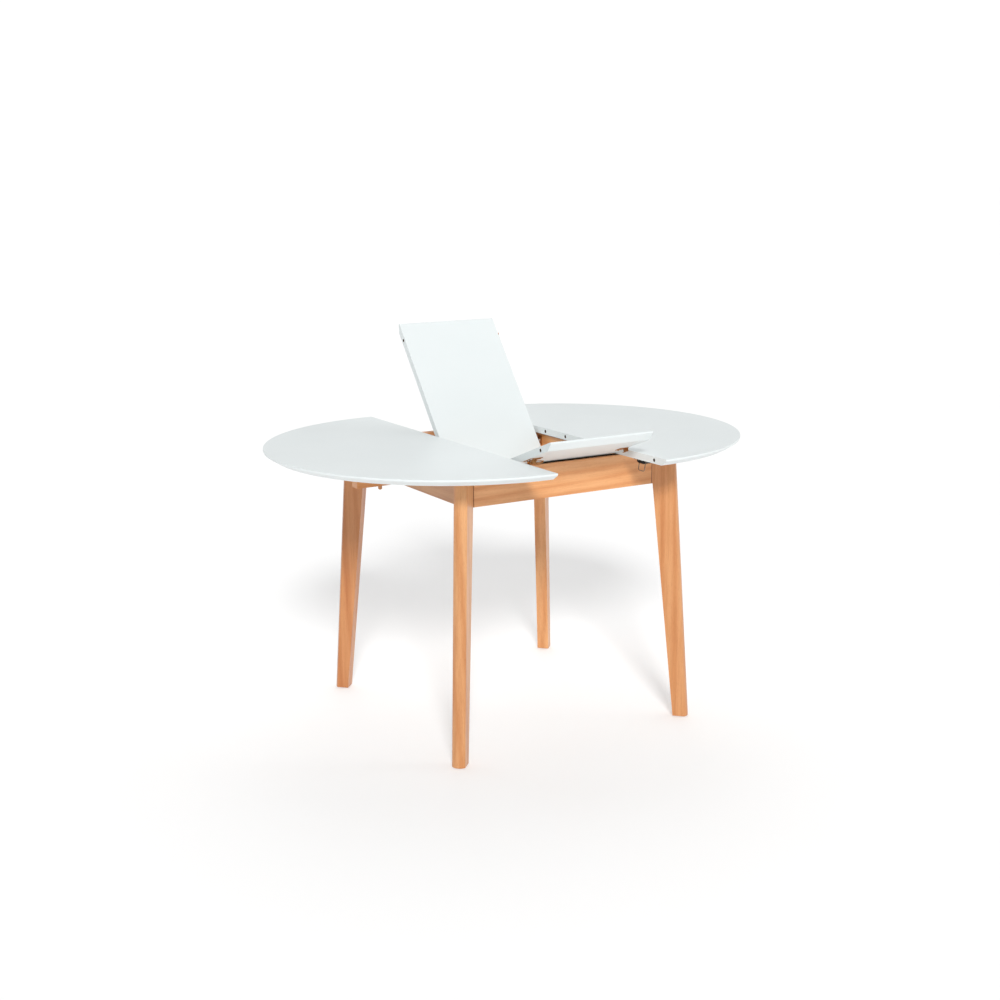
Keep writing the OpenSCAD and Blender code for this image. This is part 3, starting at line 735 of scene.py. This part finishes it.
# Each latch: its lever's joint, the lever and the base that it is screwed on with
LATCHES = [
    ("front_lever_turn", "half_lever_front", "half_latch_bases"),
    ("back_lever_turn", "half_lever_back", "half_latch_bases"),
    ("near_latch_lever_turn", "near_lever", "near_latch_base"),
    ("far_latch_lever_turn", "far_lever", "far_latch_base"),
]
half_board("left_top_half", -1)
half_board("right_top_half", 1)
for name in ("left_half_dowels", "near_leaf_dowels", "far_leaf_dowels"):
    dowels(name)
for name in ("near_leaf_dowels", "far_leaf_dowels"):
    bore_linings(name)
for name in ("left_stop_pegs", "right_stop_pegs"):
    stop_pegs(name)
felt_strip()
for joint, lever, base in LATCHES:
    lever_ribs(joint, lever)
    latch_heads(joint, lever, base)
bearing_heads()
for name in NODES:
    finish_node(name)


# ---------------------------------------------------------------- studio
FLOOR_SIZE = 400
FLOOR_GLOW = 0.25
SURROUNDINGS_LIGHT = 0.27
SURROUNDINGS_SEEN = 1.05
# Each soft lamp: azimuth (0 from +Y, 90 from +X), elevation and spread in degrees, and power
SUNS = {
    "key": (206, 31, 12, 2.20),
    "back": (0, 46, 65, 0.72),
    "side": (60, 46, 65, 0.76),
    "edge": (118, 18, 20, 0.34),
}


def floor():
    """A pale floor that glows a little, so that it stays white."""
    bpy.ops.mesh.primitive_plane_add(size=FLOOR_SIZE)
    plane = bpy.context.object
    plane.name = "floor"
    material, tree, shader = new_material("studio_floor", (0.78, 0.78, 0.78), 0.8)
    tone = ramp(tree, noise(tree, place(tree), 0.2, 3), [(0.3, grey(0.775)), (0.7, grey(0.785))])
    tree.links.new(tone, shader.inputs["Base Color"])
    shader.inputs["Specular IOR Level"].default_value = 0.1
    shader.inputs["Emission Color"].default_value = (1, 1, 1, 1)
    shader.inputs["Emission Strength"].default_value = FLOOR_GLOW
    plane.data.materials.append(material)


def soft_sun(name, azimuth, elevation, spread, power):
    """A soft lamp from a direction."""
    data = bpy.data.lights.new(name, "SUN")
    data.energy = power
    data.angle = math.radians(spread)
    lamp = bpy.data.objects.new(name, data)
    bpy.context.scene.collection.objects.link(lamp)
    a, e = math.radians(azimuth), math.radians(elevation)
    source = Vector((math.sin(a) * math.cos(e), math.cos(a) * math.cos(e), math.sin(e)))
    lamp.rotation_euler = source.to_track_quat("Z", "Y").to_euler()


def world_light():
    """White surroundings: full white to the eye, softer as a light."""
    world = bpy.data.worlds.new("studio")
    bpy.context.scene.world = world
    world.use_nodes = True
    tree = world.node_tree
    soft = tree.nodes["Background"]
    soft.inputs["Color"].default_value = (1, 1, 1, 1)
    soft.inputs["Strength"].default_value = SURROUNDINGS_LIGHT
    seen = tree.nodes.new("ShaderNodeBackground")
    seen.inputs["Color"].default_value = (1, 1, 1, 1)
    seen.inputs["Strength"].default_value = SURROUNDINGS_SEEN
    path = tree.nodes.new("ShaderNodeLightPath")
    join = tree.nodes.new("ShaderNodeMixShader")
    tree.links.new(path.outputs["Is Camera Ray"], join.inputs[0])
    tree.links.new(soft.outputs[0], join.inputs[1])
    tree.links.new(seen.outputs[0], join.inputs[2])
    tree.links.new(join.outputs[0], tree.nodes["World Output"].inputs["Surface"])


def camera():
    """A camera at the fitted place, looking along its azimuth and elevation."""
    data = bpy.data.cameras.new("camera")
    data.lens = CAMERA_LENS
    data.sensor_width = 36
    data.shift_x, data.shift_y = CAMERA_SHIFT
    item = bpy.data.objects.new("camera", data)
    bpy.context.scene.collection.objects.link(item)
    a, e = math.radians(CAMERA_AZIMUTH), math.radians(CAMERA_ELEVATION)
    back = Vector((math.sin(a) * math.cos(e), -math.cos(a) * math.cos(e), math.sin(e)))
    right = Vector((math.cos(a), math.sin(a), 0))
    turn = Matrix((right, back.cross(right), back)).transposed()
    roll = Matrix.Rotation(math.radians(CAMERA_ROLL), 3, "Z")
    item.matrix_world = Matrix.Translation(CAMERA_PLACE) @ (turn @ roll).to_4x4()
    bpy.context.scene.camera = item


floor()
world_light()
for name, values in SUNS.items():
    soft_sun(name, *values)
camera()
bpy.context.scene.view_settings.view_transform = "Standard"
